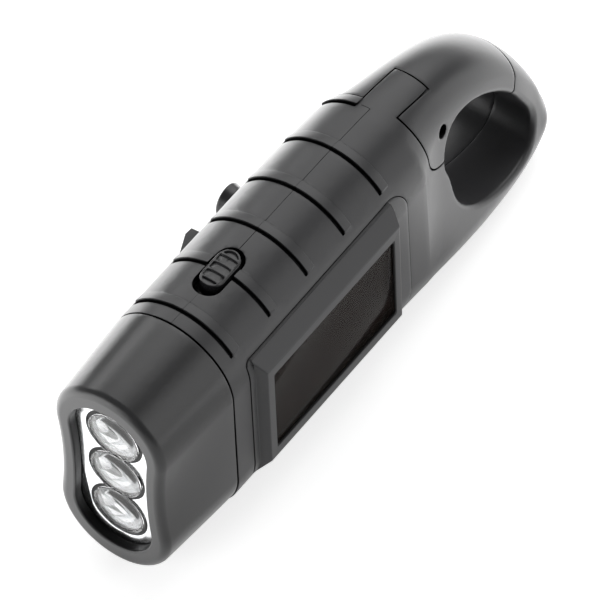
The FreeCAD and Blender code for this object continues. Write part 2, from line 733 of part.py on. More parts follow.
def main_board():
    """Circuit board under the switch."""
    return box((31.2, -11.2, BOARD_Z), (50.0, 11.2, BOARD_Z + 1.2))


def battery_pack():
    """Three button cells in a sleeve."""
    start, length = 56.4, 25.2
    pack = barrel(5.3, start, start + length, -17.2, -5.2)
    for index in (1, 2):
        place = start + index * length / 3
        ring = barrel(6.0, place - 0.3, place + 0.3, -17.2, -5.2)
        pack = pack.cut(ring.cut(barrel(5.0, place - 1, place + 1, -17.2, -5.2)))
    return pack


def battery_clip():
    """Saddle that holds the battery against the solar side shell."""
    block = box((60.0, -2.4, -22.2), (78.0, 1.4, -12.2))
    return block.cut(barrel(5.3, 50, 90, -17.2, -5.2))


def involute(angle):
    """Angle swept by an involute at a pressure angle."""
    return math.tan(angle) - angle


def gear(teeth, x, y_low, y_high, first_tooth):
    """Spur gear in the XZ plane, with one tooth pointing at the angle first_tooth, in degrees."""
    pitch = MODULE * teeth / 2
    base = pitch * math.cos(PRESSURE_ANGLE)
    root = pitch - 1.15 * MODULE
    tip = pitch + 0.9 * MODULE
    half = math.pi / (2 * teeth) - BACKLASH / (2 * pitch) + involute(PRESSURE_ANGLE)
    start = max(base, root + 0.02)
    flank = []
    for step in range(4):
        radius = start + (tip - start) * step / 3
        flank.append((radius, half - involute(math.acos(base / radius))))
    flank = [(root, flank[0][1] + 0.01)] + flank
    points = []
    for index in range(teeth):
        middle = math.radians(first_tooth) + 2 * math.pi * index / teeth
        for radius, offset in flank:
            points.append((x + radius * math.cos(middle - offset), radius * math.sin(middle - offset)))
        for radius, offset in reversed(flank):
            points.append((x + radius * math.cos(middle + offset), radius * math.sin(middle + offset)))
    return polygon_y(points, y_low, y_high)


def crank_gear():
    """Gear on the crank shaft."""
    wheel = gear(CRANK_TEETH, CRANK_X, CRANK_GEAR_TOP - 2.5, CRANK_GEAR_TOP, 180)
    return wheel.cut(rod(SHAFT_RADIUS, CRANK_X, 0, 0, 20))


def compound_gear(x, low):
    """Wheel and pinion in one moulding, on a fixed shaft."""
    wheel = gear(WHEEL_TEETH, x, low + 0.4, low + 2.9, 180)
    pinion = gear(PINION_TEETH, x, low + 2.9, low + 6.3, 180 / PINION_TEETH)
    hub = rod(2.4, x, 0, low, low + 3.4)
    return wheel.fuse(pinion).fuse(hub).cut(rod(GEAR_BORE, x, 0, -20, 30)).removeSplitter()


def gear_shaft(x):
    """Fixed shaft of a compound gear."""
    return rod(GEAR_SHAFT, x, 0, PLATE_BOTTOM, 12.6)


def gearbox_plate():
    """Plate that carries the inner ends of the shafts and the generator."""
    body = box((42.0, PLATE_BOTTOM, -10.2), (CRANK_X, PLATE_TOP, 10.2))
    body = body.fuse(rod(10.2, CRANK_X, 0, PLATE_BOTTOM, PLATE_TOP))
    for x, z in PLATE_POSTS:
        body = body.fuse(rod(2.9, x, z, PLATE_BOTTOM, PLATE_TOP))
        body = body.fuse(box((x - 2.9, PLATE_BOTTOM, min(z, 0)), (x + 2.9, PLATE_TOP, max(z, 0))))
    for x, z in PLATE_POSTS:
        body = body.cut(rod(0.95, x, z, -5, 5))
    for x in (FIRST_X, SECOND_X):
        body = body.cut(rod(GEAR_SHAFT, x, 0, -5, 5))
    body = body.cut(rod(SHAFT_RADIUS + 0.06, CRANK_X, 0, -5, 5))
    return body.cut(rod(2.0, ROTOR_X, 0, -5, 5)).removeSplitter()


def plate_screws():
    """Screws of the gearbox plate."""
    screws = []
    for x, z in PLATE_POSTS:
        head = rod(1.6, x, z, PLATE_BOTTOM - 1.1, PLATE_BOTTOM)
        screws.append(head.fuse(rod(0.8, x, z, PLATE_BOTTOM, PLATE_TOP + 5)))
    return Part.makeCompound(screws)


def generator_can():
    """Steel cup around the generator, closed at the solar side."""
    can = rod(CAN_RADIUS, ROTOR_X, 0, -9.6, PLATE_BOTTOM)
    can = can.cut(rod(CAN_RADIUS - 0.6, ROTOR_X, 0, -9.0, 0))
    return can.cut(rod(1.05, ROTOR_X, 0, -12, 0))


def generator_coil():
    """Stator winding with its bobbin inside the cup."""
    ring = rod(CAN_RADIUS - 0.6, ROTOR_X, 0, -8.6, -2.2)
    return ring.cut(rod(7.4, ROTOR_X, 0, -12, 0))


def rotor_magnet():
    """Ring magnet on the rotor shaft."""
    return rod(6.9, ROTOR_X, 0, -8.2, -2.6).cut(rod(1.0, ROTOR_X, 0, -12, 0))


def rotor_shaft():
    """Rotor shaft, from the cup to the end of its pinion."""
    return rod(1.0, ROTOR_X, 0, -9.6, 4.4)


def rotor_pinion():
    """Pinion on the rotor shaft."""
    pinion = gear(PINION_TEETH, ROTOR_X, 1.3, 4.2, 180 / PINION_TEETH)
    return pinion.cut(rod(1.0, ROTOR_X, 0, -1, 9))


def shaft_bush():
    """Brass bush of the crank shaft."""
    return rod(3.5, CRANK_X, 0, 10.9, SEAT_Y).cut(rod(SHAFT_RADIUS + 0.06, CRANK_X, 0, 0, 30))


def crank_shaft():
    """Crank shaft with a threaded hole for the crank screw."""
    shaft = rod(SHAFT_RADIUS, CRANK_X, 0, PLATE_BOTTOM, ARM_TOP - 1.0)
    return shaft.cut(rod(0.9, CRANK_X, 0, ARM_TOP - 7, ARM_TOP))


def knob_x():
    """Centre of the crank knob at rest."""
    return CRANK_X - CRANK_THROW


def crank_arm():
    """Hub disc and arm of the crank in one moulding."""
    disc = rod(HUB_DISC, CRANK_X, 0, ARM_BOTTOM, ARM_TOP)
    end = rod(ARM_END_RADIUS, knob_x(), 0, ARM_BOTTOM, ARM_TOP)
    reach = CRANK_X - knob_x()
    lean = math.acos((HUB_DISC - ARM_END_RADIUS) / reach)
    out, side = -math.cos(lean), math.sin(lean)
    edge = [(CRANK_X + HUB_DISC * out, HUB_DISC * side)]
    edge.append((knob_x() + ARM_END_RADIUS * out, ARM_END_RADIUS * side))
    web = polygon_y(edge + [(x, -z) for x, z in reversed(edge)], ARM_BOTTOM, ARM_TOP)
    arm = disc.fuse(end).fuse(web).removeSplitter()
    rim = [e for e in arm.Edges if e.BoundBox.YMin > ARM_TOP - 0.01]
    arm = arm.makeFillet(0.8, rim)
    arm = arm.cut(rod(SHAFT_RADIUS, CRANK_X, 0, 10, ARM_TOP - 1.0))
    arm = arm.cut(rod(3.1, CRANK_X, 0, ARM_TOP - 1.0, 30))
    return arm.cut(rod(1.3, knob_x(), 0, 10, 30))


def crank_screw():
    """Screw that holds the crank on its shaft."""
    head = rod(2.9, CRANK_X, 0, ARM_TOP - 1.0, ARM_TOP + 0.4)
    slot = box((CRANK_X - 2, ARM_TOP - 0.3, -0.3), (CRANK_X + 2, ARM_TOP + 1, 0.3))
    cross = box((CRANK_X - 0.3, ARM_TOP - 0.3, -2), (CRANK_X + 0.3, ARM_TOP + 1, 2))
    return head.fuse(rod(0.9, CRANK_X, 0, ARM_TOP - 6.5, ARM_TOP - 1.0)).cut(slot).cut(cross)


def knob_pin():
    """Shoulder pin of the knob, riveted in the arm, with a head inside the knob's top."""
    pin = rod(1.3, knob_x(), 0, ARM_BOTTOM, KNOB_TOP - 1.2)
    return pin.fuse(rod(2.2, knob_x(), 0, KNOB_TOP - 1.2, KNOB_TOP - 0.4)).removeSplitter()


def crank_knob():
    """Knob that turns on its pin, slightly waisted like a spool."""
    low = ARM_TOP + 0.3
    x = knob_x()
    middle = (low + KNOB_TOP) / 2
    flank = Part.Arc(Vector(x + KNOB_RADIUS, low, 0), Vector(x + KNOB_RADIUS - 0.35, middle, 0),
                     Vector(x + KNOB_RADIUS, KNOB_TOP - 0.3, 0)).toShape()
    points = [Vector(x + KNOB_RADIUS, KNOB_TOP - 0.3, 0), Vector(x + KNOB_RADIUS - 0.3, KNOB_TOP, 0)]
    points += [Vector(x, KNOB_TOP, 0), Vector(x, low, 0), Vector(x + KNOB_RADIUS, low, 0)]
    wire = Part.Wire([flank] + Part.makePolygon(points).Edges)
    knob = Part.Face(wire).revolve(Vector(x, 0, 0), AXIS_Y, 360)
    knob = knob.cut(rod(1.36, x, 0, 10, KNOB_TOP - 1.4))
    return knob.cut(rod(2.5, x, 0, KNOB_TOP - 1.4, 40))


def shell_screws():
    """Screws that close the body, driven from the crank side."""
    screws = []
    for x, z in SCREW_PLACES:
        seat = screw_seat(z)
        head = rod(SCREW_HEAD_RADIUS, x, z, seat, seat + 1.6)
        slot = box((x - 1.5, seat + 1.0, z - 0.25), (x + 1.5, seat + 2, z + 0.25))
        cross = box((x - 0.25, seat + 1.0, z - 1.5), (x + 0.25, seat + 2, z + 1.5))
        shank = rod(SCREW_SHANK_RADIUS - 0.1, x, z, -6.0, seat)
        screws.append(head.fuse(shank).cut(slot).cut(cross))
    return Part.makeCompound(screws)


def build():
    """All pieces by name, in build coordinates."""
    loop = loop_form()
    form = shell_form(loop)
    parts = {
        "head_cap": head_cap(),
        "reflector": reflector(),
        "lens_strip": lens_strip(),
        "led_board": led_board(),
        "panel_shell": panel_shell(form),
        "crank_shell": crank_shell(form),
        "solar_bezel": solar_bezel(),
        "solar_window": solar_window(),
        "solar_cell": solar_cell(),
        "switch_button": switch_button(),
        "switch_lever": switch_lever(),
        "switch_housing": switch_housing(),
        "main_board": main_board(),
        "battery_pack": battery_pack(),
        "battery_clip": battery_clip(),
        "gate": gate(loop),
        "gate_pin": gate_pin(),
        "gate_spring": gate_spring(),
        "crank_gear": crank_gear(),
        "first_gear": compound_gear(FIRST_X, 4.0),
        "second_gear": compound_gear(SECOND_X, 1.0),
        "first_shaft": gear_shaft(FIRST_X),
        "second_shaft": gear_shaft(SECOND_X),
        "gearbox_plate": gearbox_plate(),
        "plate_screws": plate_screws(),
        "generator_can": generator_can(),
        "generator_coil": generator_coil(),
        "rotor_magnet": rotor_magnet(),
        "rotor_shaft": rotor_shaft(),
        "rotor_pinion": rotor_pinion(),
        "shaft_bush": shaft_bush(),
        "crank_shaft": crank_shaft(),
        "crank_arm": crank_arm(),
        "crank_screw": crank_screw(),
        "knob_pin": knob_pin(),
        "crank_knob": crank_knob(),
        "shell_screws": shell_screws(),
    }
    for number, z in enumerate(reversed(lamp_centres()), 1):
        parts[f"led_{number}"] = led(z)
    return parts


def main():
    """Build every piece, move the origin to the middle of the bounding box and write the files."""
    os.makedirs("parts", exist_ok=True)
    parts = build()
    whole = FreeCAD.BoundBox()
    for shape in parts.values():
        whole.add(shape.optimalBoundingBox(False, False))
    origin = whole.Center
    print(f"origin in build coordinates: {origin.x:.3f} {origin.y:.3f} {origin.z:.3f}")
    print(f"size: {whole.XLength:.2f} {whole.YLength:.2f} {whole.ZLength:.2f}")
    for name, shape in parts.items():
        moved = shape.copy()
        moved.translate(origin.negative())
        moved.exportStep(f"parts/{name}.step")
        print(f"{name}: {len(shape.Solids)} solid, {shape.Volume:.1f} mm3, valid {shape.isValid()}")


main()
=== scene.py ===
"""Looks of the hand crank flashlight: finishes, dressed pieces, floor, lamps and camera.

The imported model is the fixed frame, in metres, with its origin in the middle of the whole
flashlight: +X points to the loop, +Y to the crank side and +Z to the edge with the switch.
"""
import logging
import math
from collections.abc import Callable, Sequence
from dataclasses import dataclass, field
from enum import Enum

import bmesh
import bpy
from mathutils import Matrix, Vector


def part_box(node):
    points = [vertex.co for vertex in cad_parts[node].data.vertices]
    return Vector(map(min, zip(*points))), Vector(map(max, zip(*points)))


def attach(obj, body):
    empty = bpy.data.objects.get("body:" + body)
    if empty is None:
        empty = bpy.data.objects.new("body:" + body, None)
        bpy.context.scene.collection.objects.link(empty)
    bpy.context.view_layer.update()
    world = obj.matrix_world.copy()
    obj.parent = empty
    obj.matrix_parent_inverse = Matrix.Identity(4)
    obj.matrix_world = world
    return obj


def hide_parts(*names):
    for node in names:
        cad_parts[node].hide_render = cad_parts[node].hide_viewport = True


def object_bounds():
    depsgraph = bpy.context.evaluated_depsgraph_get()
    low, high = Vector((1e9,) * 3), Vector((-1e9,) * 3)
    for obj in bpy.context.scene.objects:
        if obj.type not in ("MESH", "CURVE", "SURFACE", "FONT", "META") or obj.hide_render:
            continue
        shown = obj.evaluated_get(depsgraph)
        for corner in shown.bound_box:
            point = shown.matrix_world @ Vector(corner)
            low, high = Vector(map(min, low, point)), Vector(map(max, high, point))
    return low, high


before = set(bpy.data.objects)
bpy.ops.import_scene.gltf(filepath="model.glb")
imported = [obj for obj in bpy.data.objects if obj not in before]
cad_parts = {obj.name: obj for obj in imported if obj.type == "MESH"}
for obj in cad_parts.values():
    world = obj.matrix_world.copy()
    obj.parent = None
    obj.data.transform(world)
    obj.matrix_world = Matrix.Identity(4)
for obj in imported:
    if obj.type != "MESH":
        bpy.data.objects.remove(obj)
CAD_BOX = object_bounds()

LOG = logging.getLogger("flashlight")
MM = 0.001
Color = tuple[float, float, float]
Piece = bpy.types.Object
Material = bpy.types.Material
Tree = bpy.types.NodeTree
Node = bpy.types.Node
Socket = bpy.types.NodeSocket


class Slot(Enum):
    """Material slots of the record that new pieces are listed with."""

    BODY = "body_plastic"
    HEAD = "head_plastic"
    CRANK = "crank_plastic"
    SWITCH = "switch_plastic"
    MIRROR = "mirror_plating"
    LENS = "clear_lens"
    WINDOW = "dark_window"


@dataclass(frozen=True)
class Finish:
    """What every finish shares: a name and a Principled shader.

    Args:
        name: The material's name.
    """

    name: str

    def start(self) -> tuple[Material, Tree, Node]:
        """Make an empty node material.

        Returns:
            The material, its node tree and its Principled shader.
        """
        material = bpy.data.materials.new(self.name)
        material.use_nodes = True
        tree = material.node_tree
        return material, tree, tree.nodes["Principled BSDF"]

    @staticmethod
    def place(tree: Tree) -> Socket:
        """Return the Object coordinates of a node tree."""
        return tree.nodes.new("ShaderNodeTexCoord").outputs["Object"]

    @staticmethod
    def noise(tree: Tree, where: Socket, scale: float, detail: float) -> Socket:
        """Add a noise texture.

        Args:
            tree: The node tree.
            where: The coordinates it reads.
            scale: Features per metre.
            detail: Octaves of detail.

        Returns:
            The noise value's socket.
        """
        node = tree.nodes.new("ShaderNodeTexNoise")
        node.inputs["Scale"].default_value = scale
        node.inputs["Detail"].default_value = detail
        tree.links.new(where, node.inputs["Vector"])
        return node.outputs["Fac"]

    @staticmethod
    def span(tree: Tree, value: Socket, low: float, high: float) -> Socket:
        """Map a value of 0 to 1 onto low to high and return its socket."""
        node = tree.nodes.new("ShaderNodeMapRange")
        node.inputs["To Min"].default_value = low
        node.inputs["To Max"].default_value = high
        tree.links.new(value, node.inputs["Value"])
        return node.outputs["Result"]

    @staticmethod
    def blend(tree: Tree, value: Socket, low: Color, high: Color) -> Socket:
        """Mix two colours by a value and return the colour's socket."""
        node = tree.nodes.new("ShaderNodeMix")
        node.data_type = "RGBA"
        node.inputs["A"].default_value = (*low, 1)
        node.inputs["B"].default_value = (*high, 1)
        tree.links.new(value, node.inputs["Factor"])
        return node.outputs["Result"]

    @staticmethod
    def shades(color: Color, low: float, high: float) -> tuple[Color, Color]:
        """Return a darker and a lighter shade of a colour, as shares of it."""
        return tuple(c * low for c in color), tuple(c * high for c in color)

    @staticmethod
    def relief(tree: Tree, height: Socket, depth: float, shader: Node) -> None:
        """Raise a bump of the given depth, in metres, on the shader."""
        node = tree.nodes.new("ShaderNodeBump")
        node.inputs["Distance"].default_value = depth
        tree.links.new(height, node.inputs["Height"])
        tree.links.new(node.outputs["Normal"], shader.inputs["Normal"])


@dataclass(frozen=True)
class MouldedPlastic(Finish):
    """Moulded plastic with a fine grain, a little cloudy, and with painted shade in its crevices and
    hollows.
    """

    color: Color = (0.06, 0.06, 0.063)
    roughness: float = 0.42
    grain: float = 0.000012
    grain_scale: float = 4200.0
    # How deep the painted shade in crevices and hollows goes, 0 for none; near and far, in metres, are the
    # reaches of its two scales, and the spans are their limits.
    painted_shade_depth: float = 0.0
    cloud_scale: float = 70.0
    near: float = 0.0015
    near_span: tuple[float, float] = (0.1, 0.9)
    far: float = 0.012
    far_span: tuple[float, float] = (0.45, 0.85)
    samples: int = 6
    shine: float = 0.5

    def build(self) -> Material:
        """Make the material."""
        material, tree, shader = self.start()
        where = self.place(tree)
        cloud = self.noise(tree, where, self.cloud_scale, 4.0)
        tint = self.blend(tree, cloud, *self.shades(self.color, 0.9, 1.1))
        # Painted shade: ambient occlusion darkens the colour in crevices and hollows.
        if self.painted_shade_depth > 0:
            tint = self.paint_shade(tree, tint, shader)
        tree.links.new(tint, shader.inputs["Base Color"])
        rough = self.span(tree, cloud, self.roughness * 0.88, self.roughness * 1.12)
        tree.links.new(rough, shader.inputs["Roughness"])
        self.relief(tree, self.noise(tree, where, self.grain_scale, 2.0), self.grain, shader)
        return material

    def shade_factor(self, tree: Tree, reach: float, limits: tuple[float, float]) -> Socket:
        """Tell how open the surface is within a reach, which sets the painted shade.

        Args:
            tree: The node tree.
            reach: How far it looks, in metres.
            limits: The shares of open sky that count as shut in and as open.

        Returns:
            The socket of a value from 1 minus the painted shade's depth to 1.
        """
        sky = tree.nodes.new("ShaderNodeAmbientOcclusion")
        sky.samples = self.samples
        sky.inputs["Distance"].default_value = reach
        node = tree.nodes.new("ShaderNodeMapRange")
        node.inputs["From Min"].default_value, node.inputs["From Max"].default_value = limits
        node.inputs["To Min"].default_value = 1 - self.painted_shade_depth
        tree.links.new(sky.outputs["AO"], node.inputs["Value"])
        return node.outputs["Result"]

    def paint_shade(self, tree: Tree, tint: Socket,
               shader: Node) -> Socket:
        """Paint shade: darken a colour, and dull the shine, where the surface is hemmed in.

        Args:
            tree: The node tree.
            tint: The colour.
            shader: The Principled shader.

        Returns:
            The darkened colour's socket.
        """
        both = tree.nodes.new("ShaderNodeMath")
        both.operation = "MULTIPLY"
        tree.links.new(self.shade_factor(tree, self.near, self.near_span), both.inputs[0])
        tree.links.new(self.shade_factor(tree, self.far, self.far_span), both.inputs[1])
        level = both.outputs["Value"]
        # The painted shade also dulls the shine where the surface is hemmed in.
        tree.links.new(self.span(tree, level, 0.0, self.shine), shader.inputs["Specular IOR Level"])
        node = tree.nodes.new("ShaderNodeVectorMath")
        node.operation = "SCALE"
        tree.links.new(tint, node.inputs[0])
        tree.links.new(level, node.inputs["Scale"])
        return node.outputs["Vector"]


@dataclass(frozen=True)
class Metal(Finish):
    """Bare or plated metal with fine brushing around the Y axis."""

    color: Color = (0.6, 0.6, 0.62)
    roughness: float = 0.3
    scratch: float = 0.000006
    stretch: float = 14.0
    line_scale: float = 900.0

    def build(self) -> Material:
        """Make the material."""
        material, tree, shader = self.start()
        where = self.place(tree)
        brushed = tree.nodes.new("ShaderNodeMapping")
        brushed.inputs["Scale"].default_value = (1, self.stretch, 1)
        tree.links.new(where, brushed.inputs["Vector"])
        lines = self.noise(tree, brushed.outputs["Vector"], self.line_scale, 3.0)
        tint = self.blend(tree, lines, *self.shades(self.color, 0.88, 1.0))
        tree.links.new(tint, shader.inputs["Base Color"])
        shader.inputs["Metallic"].default_value = 1.0
        rough = self.span(tree, lines, self.roughness * 0.75, self.roughness * 1.25)
        tree.links.new(rough, shader.inputs["Roughness"])
        self.relief(tree, lines, self.scratch, shader)
        return material


@dataclass(frozen=True)
class ClearPlastic(Finish):
    """Clear moulded plastic with faint flow marks."""

    color: Color = (1.0, 1.0, 1.0)
    roughness: float = 0.02
    ripple: float = 0.00001
    ior: float = 1.4
    flow_scale: float = 260.0

    def build(self) -> Material:
        """Make the material."""
        material, tree, shader = self.start()
        where = self.place(tree)
        flow = self.noise(tree, where, self.flow_scale, 2.0)
        tint = self.blend(tree, flow, *self.shades(self.color, 0.99, 1.0))
        tree.links.new(tint, shader.inputs["Base Color"])
        shader.inputs["Transmission Weight"].default_value = 1.0
        shader.inputs["IOR"].default_value = self.ior
        rough = self.span(tree, flow, self.roughness * 0.6, self.roughness * 1.4)
        tree.links.new(rough, shader.inputs["Roughness"])
        self.relief(tree, flow, self.ripple, shader)
        return material


@dataclass(frozen=True)
class TintedPane(Finish):
    """Thin brown pane that lets the solar film show through."""

    color: Color = (0.02, 0.013, 0.01)
    density: float = 0.25
    roughness: float = 0.08
    ior: float = 1.18
    haze_scale: float = 90.0

    def build(self) -> Material:
        """Make the material."""
        material, tree, shader = self.start()
        haze = self.noise(tree, self.place(tree), self.haze_scale, 3.0)
        tint = self.blend(tree, haze, *self.shades(self.color, 0.85, 1.15))
        tree.links.new(tint, shader.inputs["Base Color"])
        rough = self.span(tree, haze, self.roughness * 0.8, self.roughness * 1.2)
        tree.links.new(rough, shader.inputs["Roughness"])
        shader.inputs["IOR"].default_value = self.ior
        shader.inputs["Alpha"].default_value = self.density
        return material


@dataclass(frozen=True)
class CellFilm(Finish):
    """Dark solar film with the fine scribed lines between its strips."""

    color: Color = (0.02, 0.0125, 0.0095)
    strip: float = 0.0052
    line: float = 0.00009
    line_color: Color = (0.05, 0.04, 0.035)
    line_share: float = 0.35
    cloud_scale: float = 40.0
    shine: float = 0.05

    def build(self) -> Material:
        """Make the material."""
        material, tree, shader = self.start()
        where = self.place(tree)
        split = tree.nodes.new("ShaderNodeSeparateXYZ")
        tree.links.new(where, split.inputs["Vector"])
        wrap = tree.nodes.new("ShaderNodeMath")
        wrap.operation = "PINGPONG"
        wrap.inputs[1].default_value = self.strip / 2
        tree.links.new(split.outputs["X"], wrap.inputs[0])
        edge = tree.nodes.new("ShaderNodeMath")
        edge.operation = "LESS_THAN"
        edge.inputs[1].default_value = self.line
        tree.links.new(wrap.outputs["Value"], edge.inputs[0])
        faint = self.span(tree, edge.outputs["Value"], 0.0, self.line_share)
        cloud = self.noise(tree, where, self.cloud_scale, 3.0)
        film = self.blend(tree, cloud, *self.shades(self.color, 0.8, 1.2))
        lines = tree.nodes.new("ShaderNodeMix")
        lines.data_type = "RGBA"
        lines.inputs["B"].default_value = (*self.line_color, 1)
        tree.links.new(faint, lines.inputs["Factor"])
        tree.links.new(film, lines.inputs["A"])
        tree.links.new(lines.outputs["Result"], shader.inputs["Base Color"])
        tree.links.new(self.span(tree, cloud, 0.3, 0.4), shader.inputs["Roughness"])
        shader.inputs["Specular IOR Level"].default_value = self.shine
        return material


@dataclass(frozen=True)
class CircuitBoard(Finish):
    """Green solder mask with fine tracks."""

    track: Color = (0.01, 0.09, 0.035)
    mask: Color = (0.03, 0.17, 0.08)
    track_scale: float = 420.0
    track_height: float = 0.00003

    def build(self) -> Material:
        """Make the material."""
        material, tree, shader = self.start()
        where = self.place(tree)
        cells = tree.nodes.new("ShaderNodeTexVoronoi")
        cells.distance = "MANHATTAN"
        cells.inputs["Scale"].default_value = self.track_scale
        tree.links.new(where, cells.inputs["Vector"])
        tint = self.blend(tree, cells.outputs["Distance"], self.track, self.mask)
        tree.links.new(tint, shader.inputs["Base Color"])
        rough = self.span(tree, cells.outputs["Distance"], 0.25, 0.45)
        tree.links.new(rough, shader.inputs["Roughness"])
        self.relief(tree, cells.outputs["Distance"], self.track_height, shader)
        return material


@dataclass(frozen=True)
class WoundWire(Finish):
    """Enamelled wire in fine turns around the generator's axis."""

    shade: Color = (0.2, 0.06, 0.02)
    copper: Color = (0.55, 0.22, 0.09)
    turn_scale: float = 700.0
    waver: float = 1.5
    wire_height: float = 0.00005

    def build(self) -> Material:
        """Make the material."""
        material, tree, shader = self.start()
        where = self.place(tree)
        turns = tree.nodes.new("ShaderNodeTexWave")
        turns.bands_direction = "Y"
        turns.inputs["Scale"].default_value = self.turn_scale
        turns.inputs["Distortion"].default_value = self.waver
        tree.links.new(where, turns.inputs["Vector"])
        tint = self.blend(tree, turns.outputs["Fac"], self.shade, self.copper)
        tree.links.new(tint, shader.inputs["Base Color"])
        shader.inputs["Metallic"].default_value = 0.8
        shader.inputs["Roughness"].default_value = 0.3
        self.relief(tree, turns.outputs["Fac"], self.wire_height, shader)
        return material


class Bench:
    """Small helpers around Blender's operators."""

    @staticmethod
    def take(obj: Piece) -> None:
        """Select one object alone and make it active."""
        bpy.ops.object.select_all(action="DESELECT")
        obj.select_set(True)
        bpy.context.view_layer.objects.active = obj

    @staticmethod
    def fix(obj: Piece) -> None:
        """Put an object's place, turn and size into its mesh."""
        Bench.take(obj)
        bpy.ops.object.transform_apply(location=True, rotation=True, scale=True)

    @staticmethod
    def modify(obj: Piece, kind: str, **settings: object) -> None:
        """Add a modifier with the given settings and apply it.

        Args:
            obj: The object.
            kind: The modifier's type.
            **settings: Its properties.
        """
        Bench.take(obj)
        modifier = obj.modifiers.new(kind.lower(), kind)
        for key, value in settings.items():
            setattr(modifier, key, value)
        bpy.ops.object.modifier_apply(modifier=modifier.name)

    @staticmethod
    def soften(obj: Piece, width: float, angle: float = 35.0, segments: int = 2) -> None:
        """Round an object's sharp edges and shade it smooth.

        Args:
            obj: The object.
            width: Width of the rounding, in metres.
            angle: Edges sharper than this many degrees are rounded.
            segments: Steps across the rounding.
        """
        limit = math.radians(angle)
        Bench.modify(obj, "BEVEL", width=width, segments=segments, limit_method="ANGLE", angle_limit=limit,
                     use_clamp_overlap=False, miter_outer="MITER_ARC")
        Bench.smooth(obj)

    @staticmethod
    def smooth(obj: Piece, angle: float = 40.0) -> None:
        """Shade smooth, except across edges sharper than angle."""
        Bench.take(obj)
        bpy.ops.object.shade_smooth_by_angle(angle=math.radians(angle))

    @staticmethod
    def pick(obj: Piece, test: Callable[[Vector, Vector], bool]) -> None:
        """In edit mode, select the faces that pass a test.

        Args:
            obj: The object in edit mode.
            test: Takes a face's centre and normal.
        """
        bpy.ops.mesh.select_mode(type="FACE")
        bpy.ops.mesh.select_all(action="DESELECT")
        mesh = bmesh.from_edit_mesh(obj.data)
        for face in mesh.faces:
            if test(face.calc_center_median(), face.normal):
                face.select_set(True)
        bmesh.update_edit_mesh(obj.data)

    @staticmethod
    def pick_points(obj: Piece, test: Callable[[Vector], bool]) -> None:
        """In edit mode, select the vertices that pass a test."""
        bpy.ops.mesh.select_mode(type="VERT")
        bpy.ops.mesh.select_all(action="DESELECT")
        mesh = bmesh.from_edit_mesh(obj.data)
        for vertex in mesh.verts:
            if test(vertex.co):
                vertex.select_set(True)
        mesh.select_flush_mode()
        bmesh.update_edit_mesh(obj.data)

    @staticmethod
    def join(pieces: Sequence[Piece], name: str) -> Piece:
        """Join several objects into the first and name it."""
        bpy.ops.object.select_all(action="DESELECT")
        for piece in pieces:
            piece.select_set(True)
        bpy.context.view_layer.objects.active = pieces[0]
        bpy.ops.object.join()
        pieces[0].name = name
        return pieces[0]

    @staticmethod
    def finish(obj: Piece, material: Material, body: str, slot: Slot, nodes: Sequence[str]) -> None:
        """Give a piece its finish, tie it to its body and hide the CAD nodes that it stands for.

        Args:
            obj: The piece.
            material: Its finish.
            body: The CAD body that it rides on.
            slot: The record's material slot; not used.
            nodes: The CAD nodes that it stands for.
        """
        obj.data.materials.clear()
        obj.data.materials.append(material)
        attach(obj, body)
        if nodes:
            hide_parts(*nodes)
        LOG.info("%s: %d faces on %s", obj.name, len(obj.data.polygons), body)


@dataclass
class Dressed:
    """A CAD node's own form, with its edges rounded as a mould leaves them.

    Args:
        node: The CAD node.
        name: The new piece's name.
        body: The body that it rides on.
        slot: The record's material slot.
        width: Width of the rounding, in metres.
        merge: Points closer than this become one, in metres.
    """

    node: str
    name: str
    body: str
    slot: Slot
    width: float = 0.15 * MM
    merge: float = 0.06 * MM

    def build(self, material: Material) -> Piece:
        """Copy the node's mesh, merge it, round its edges and dress it.

        Args:
            material: The finish.

        Returns:
            The new piece.
        """
        piece = bpy.data.objects.new(self.name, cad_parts[self.node].data.copy())
        bpy.context.scene.collection.objects.link(piece)
        Bench.take(piece)
        bpy.ops.object.mode_set(mode="EDIT")
        bpy.ops.mesh.select_all(action="SELECT")
        bpy.ops.mesh.remove_doubles(threshold=self.merge)
        bpy.ops.mesh.dissolve_degenerate(threshold=self.merge / 2)
        bpy.ops.object.mode_set(mode="OBJECT")
        bpy.ops.mesh.customdata_custom_splitnormals_clear()
        Bench.soften(piece, self.width)
        self.trim(piece)
        Bench.modify(piece, "WEIGHTED_NORMAL", keep_sharp=True, weight=80)
        Bench.finish(piece, material, self.body, self.slot, [self.node])
        return piece


    def trim(self, piece: Piece) -> None:
        """Press points that the rounding threw outside the node's box back onto its sides.

        Args:
            piece: The piece.
        """
        low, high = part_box(self.node)
        bpy.ops.object.mode_set(mode="EDIT")
        for axis in range(3):
            flat = tuple(0.0 if index == axis else 1.0 for index in range(3))
            for side, corner in ((-1, low), (1, high)):
                Bench.pick_points(piece, lambda co, a=axis, s=side, c=corner: (co[a] - c[a]) * s > 0)
                bpy.ops.transform.resize(value=flat, center_override=corner)
        bpy.ops.object.mode_set(mode="OBJECT")


